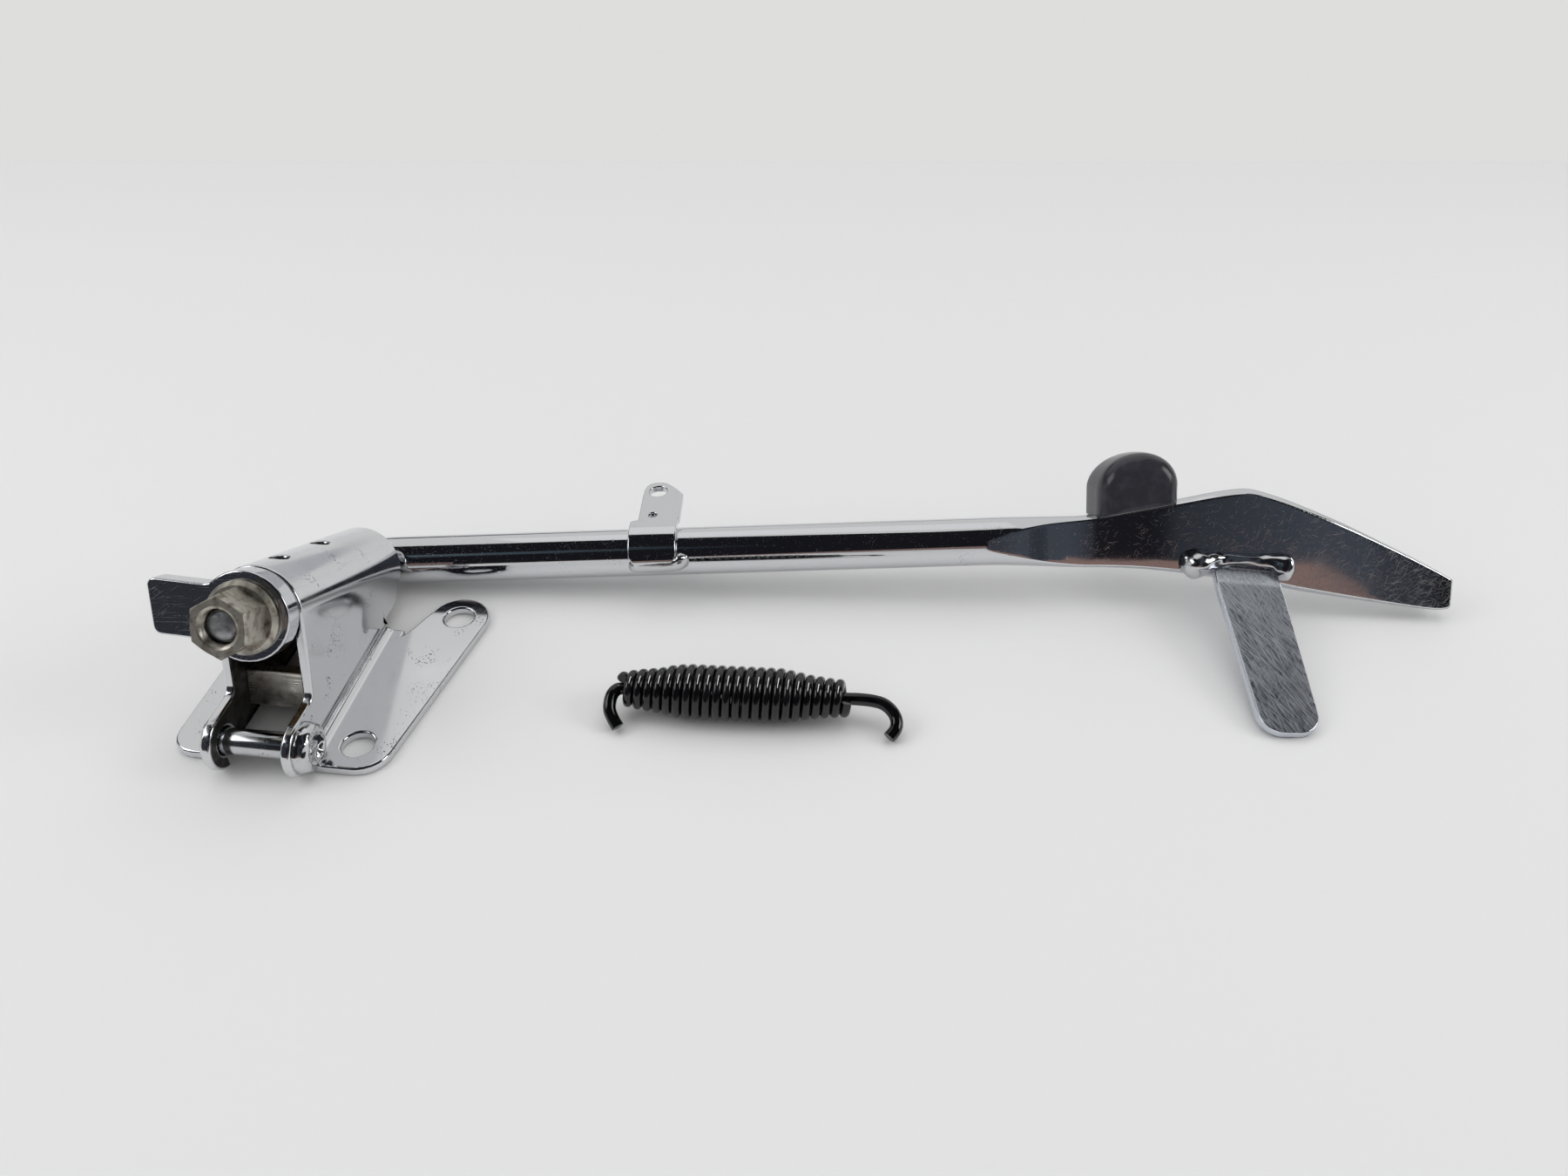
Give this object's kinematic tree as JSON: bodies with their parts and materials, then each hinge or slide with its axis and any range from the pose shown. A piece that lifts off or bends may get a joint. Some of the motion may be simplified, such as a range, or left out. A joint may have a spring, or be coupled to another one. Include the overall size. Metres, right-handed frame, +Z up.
{
  "type": "motorcycle kickstand",
  "caption": "Motorcycle kickstand: folded sheet bracket with a slanted pivot barrel, swinging rod leg pressed into a blade foot, rubber bumper, kick tab and an unhooked return spring",
  "frame": {"origin": "On the bracket's mounting face, midway between the two bolt holes of the right flange", "axes": "+X along the leg from the pivot towards the foot, +Y to the rear of the bracket, +Z up from the mounting face"},
  "size_m": [0.3997, 0.1201, 0.0592],
  "materials": {
    "chrome": "bright chrome plate, pitted and scratched",
    "bare_steel": "bare steel with fine grinding lines",
    "bronze": "plain turned bronze",
    "weld_bead": "plated weld bead",
    "zinc_nut": "dull grimy zinc plate",
    "satin_chrome": "chrome worn satin by scratches",
    "black_rubber": "satin black rubber",
    "black_gloss": "gloss black coating"
  },
  "bodies": {
    "bracket": {"bracket_shell": "chrome", "front_bush": "bronze", "rear_bush": "bronze", "stop_block": "bare_steel", "anchor_pin": "bare_steel", "anchor_pin_weld_right": "weld_bead", "anchor_pin_weld_left": "weld_bead", "return_spring": "black_gloss"},
    "leg": {"leg_rod": "chrome", "stop_plate": "chrome", "flange_nut": "zinc_nut", "spring_tab": "chrome", "spring_tab_weld": "weld_bead", "bumper": "black_rubber", "bumper_stud": "bare_steel", "kick_tab": "satin_chrome", "kick_tab_weld": "weld_bead"},
    "hook_left": {"spring_hook_left": "black_gloss"},
    "hook_right": {"spring_hook_right": "black_gloss"}
  },
  "joints": [
    {"name": "leg_swing", "type": "hinge", "parent": "bracket", "child": "leg", "pos_m": [-0.03222, -0.02147, 0.0457], "axis": [-0.1045, -0.888, 0.4478], "range_deg": [0, 155]},
    {"name": "hook_left_swivel", "type": "hinge", "parent": "bracket", "child": "hook_left", "pos_m": [0.0674, -0.011, 0.00845], "axis": [-0.9979, 0.0645, 0], "range_deg": [0, 170]},
    {"name": "hook_right_swivel", "type": "hinge", "parent": "bracket", "child": "hook_right", "pos_m": [0.13476, -0.01535, 0.00845], "axis": [-0.9979, 0.0645, 0], "range_deg": [0, 170]}
  ]
}
